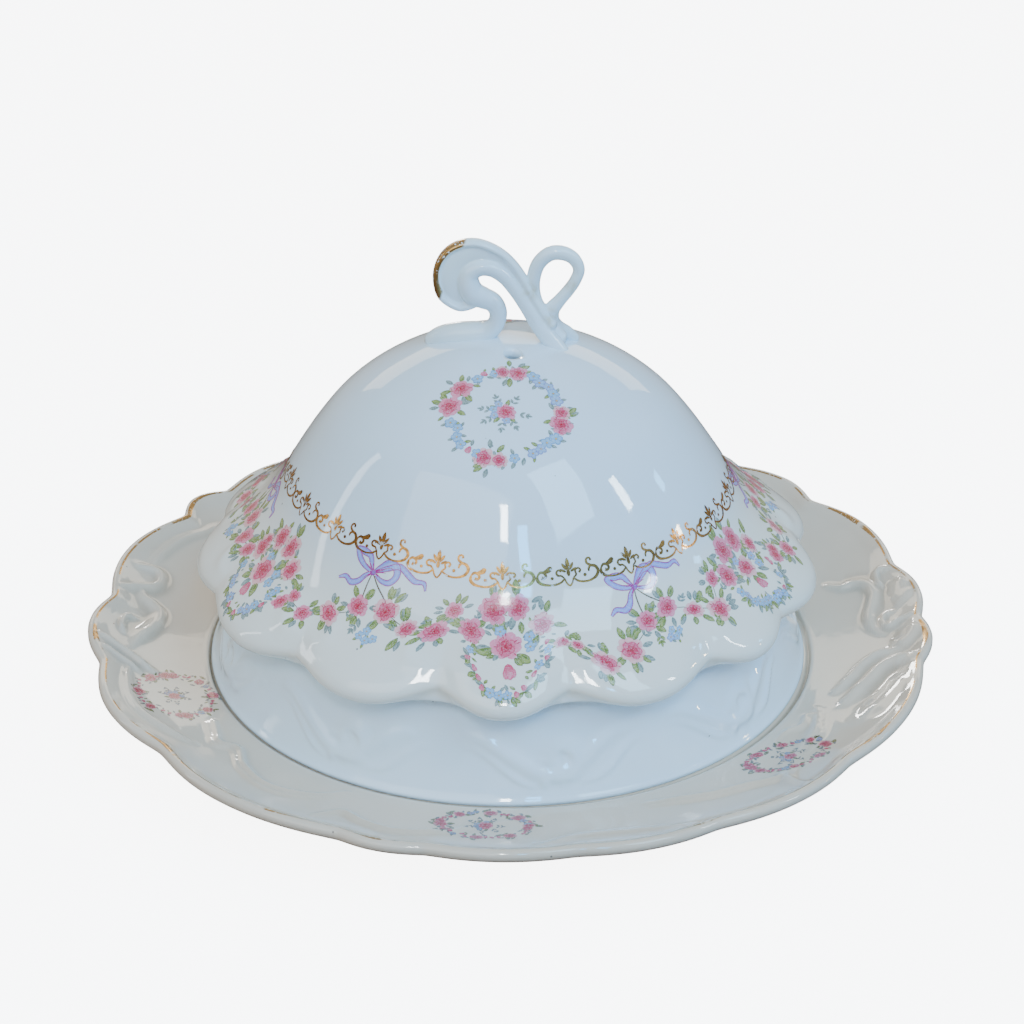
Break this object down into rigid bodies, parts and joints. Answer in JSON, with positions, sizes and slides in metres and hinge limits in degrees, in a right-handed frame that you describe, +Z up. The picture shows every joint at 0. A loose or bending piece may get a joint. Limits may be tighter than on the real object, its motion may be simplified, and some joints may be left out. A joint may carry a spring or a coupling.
{
  "type": "covered butter dish",
  "caption": "Round porcelain butter dish: scalloped dish with a foot ring, loose pierced drainer, and a frilled domed cover with a scroll and loop handle.",
  "frame": {"origin": "on the dish's axis, at the plane its foot ring stands on", "axes": "+Z up; -Y is the front, with the handle's scroll to the left of it and its loop to the right"},
  "size_m": [0.2048, 0.2048, 0.1116],
  "materials": {
    "dish_glaze": "glossy white glaze with worn gilding and flower transfers",
    "drainer_glaze": "glossy white glaze, plain",
    "cover_glaze": "glossy bluish white glaze with a gilt band and flower transfers",
    "handle_glaze": "glossy white glaze with a touch of gilding"
  },
  "bodies": {
    "dish": {"dish": "dish_glaze"},
    "drainer": {"drainer": "drainer_glaze"},
    "cover": {"cover": "cover_glaze", "handle_scroll": "handle_glaze", "handle_loop": "handle_glaze"}
  },
  "joints": [
    {"name": "cover_lift", "type": "slide", "parent": "dish", "child": "cover", "axis": [0, 0, 1], "range_m": [0, 0.12]},
    {"name": "drainer_lift", "type": "slide", "parent": "dish", "child": "drainer", "axis": [0, 0, 1], "range_m": [0, 0.03]}
  ]
}
